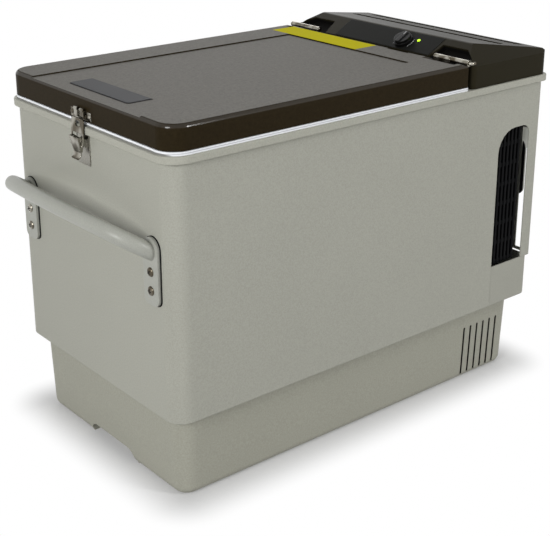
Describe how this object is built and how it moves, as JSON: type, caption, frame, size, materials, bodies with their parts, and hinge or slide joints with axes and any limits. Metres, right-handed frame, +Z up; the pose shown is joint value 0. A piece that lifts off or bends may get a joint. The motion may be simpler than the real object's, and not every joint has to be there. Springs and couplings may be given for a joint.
{
  "type": "compressor cooler fridge",
  "caption": "Chest-type portable compressor fridge with a hinged lid, end latch, control housing, vents and two carry handles.",
  "frame": {"origin": "middle of the underside, on the floor", "axes": "+X along the length to the compressor end, -Y the front long side, +Z up"},
  "size_m": [0.7745, 0.377, 0.5103],
  "materials": {
    "cabinet_paint": "satin",
    "base_paint": "satin",
    "white_plastic": "gloss",
    "brown_plastic": "satin",
    "black_plastic": "matte",
    "panel_black": "satin",
    "green_lens": "gloss",
    "bright_steel": "polished",
    "black_steel": "satin",
    "zinc_sheet": "satin",
    "bare_aluminium": "satin",
    "copper": "satin",
    "black_rubber": "matte",
    "white_seal": "matte",
    "foam": "matte"
  },
  "bodies": {
    "cabinet": {"base_tray": "base_paint", "cabinet_wrap": "cabinet_paint", "end_panel": "cabinet_paint", "low_bay_panel": "cabinet_paint", "top_rim": "cabinet_paint", "inner_tub": "white_plastic", "evaporator": "bare_aluminium", "insulation_foam": "foam", "bulkhead": "zinc_sheet", "side_grilles": "black_plastic", "end_grille": "black_plastic", "compressor": "black_steel", "compressor_mounts": "black_rubber", "condenser": "black_steel", "fan_shroud": "black_plastic", "filter_drier": "copper", "refrigerant_pipes": "copper", "power_board": "bare_aluminium", "ac_inlet": "black_plastic", "dc_inlet": "black_plastic", "control_housing": "brown_plastic", "control_panel": "panel_black", "power_light": "green_lens", "thermostat": "zinc_sheet", "hinge_leaves_cabinet": "bright_steel", "hinge_pins": "bright_steel", "front_handle": "cabinet_paint", "rear_handle": "cabinet_paint", "handle_pads": "black_rubber", "handle_screws": "bright_steel", "latch_base": "bright_steel", "latch_pins": "bright_steel"},
    "lid": {"lid_shell": "brown_plastic", "lid_foam": "foam", "lid_liner": "white_plastic", "lid_gasket": "white_seal", "hinge_leaves_lid": "bright_steel", "latch_keeper": "bright_steel", "keeper_screws": "bright_steel"},
    "lever": {"latch_lever": "bright_steel"},
    "bail": {"latch_bail": "bright_steel"},
    "knob": {"control_knob": "panel_black"},
    "fan": {"fan_rotor": "black_plastic"}
  },
  "joints": [
    {"name": "lid_hinge", "type": "hinge", "parent": "cabinet", "child": "lid", "pos_m": [0.16305, 0, 0.49], "axis": [0, 1, 0], "range_deg": [0, 88]},
    {"name": "lever_pivot", "type": "hinge", "parent": "cabinet", "child": "lever", "pos_m": [-0.333, 0, 0.4365], "axis": [0, 1, 0], "range_deg": [0, 120]},
    {"name": "bail_pivot", "type": "hinge", "parent": "lever", "child": "bail", "pos_m": [-0.334, 0, 0.4295], "axis": [0, 1, 0], "range_deg": [-140, 0]},
    {"name": "knob_turn", "type": "hinge", "parent": "cabinet", "child": "knob", "pos_m": [0.17877, -0.044, 0.49581], "axis": [-0.4808, 0, 0.8768], "range_deg": [0, 270]},
    {"name": "fan_spin", "type": "hinge", "parent": "cabinet", "child": "fan", "pos_m": [0.2455, 0, 0.28], "axis": [1, 0, 0], "continuous": true}
  ],
  "couplings": [
    {"joint": "bail_pivot", "follows": "lever_pivot", "ratio": -1.04}
  ]
}
